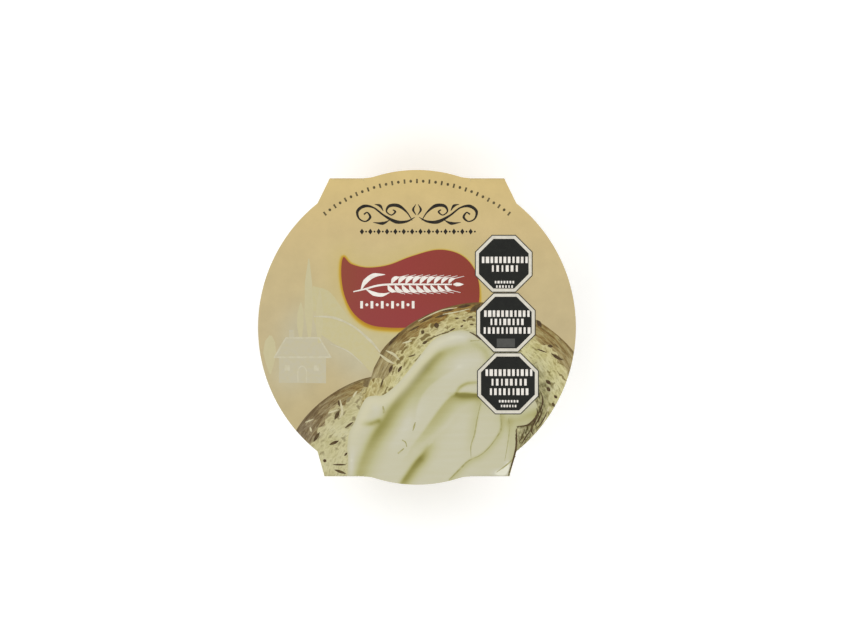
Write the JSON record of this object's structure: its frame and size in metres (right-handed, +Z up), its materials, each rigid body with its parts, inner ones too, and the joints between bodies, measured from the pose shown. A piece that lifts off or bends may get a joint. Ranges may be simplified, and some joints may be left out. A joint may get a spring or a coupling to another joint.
{
  "type": "cheese tub in a cardboard sleeve",
  "caption": "Shut round plastic tub of soft spreading cheese in a printed board sleeve with a round top panel, leaning side panels and octagonal stickers.",
  "frame": {"origin": "middle of the sleeve's underside, on the surface that the pack stands on", "axes": "+Z up, +Y towards the back: the edge that is uppermost when the printed top is read from above; +X to the reader's right"},
  "size_m": [0.1, 0.099, 0.0402],
  "materials": {
    "printed_board": "coated carton board, offset printed in cream, red, gold and bread tones under a satin varnish",
    "tub_plastic": "thermoformed polypropylene, off-white, semi-gloss",
    "lid_plastic": "injection moulded polypropylene, white, semi-gloss",
    "label_film": "self-adhesive printed film, near-black with a pale edge, satin",
    "ornament_ink": "dark brown-black printing ink under the board's satin varnish",
    "white_ink": "opaque white printing ink under a satin varnish"
  },
  "bodies": {
    "root": {"tub": "tub_plastic", "lid": "lid_plastic", "sleeve": "printed_board", "label_upper": "label_film", "label_middle": "label_film", "label_lower": "label_film"}
  },
  "joints": []
}
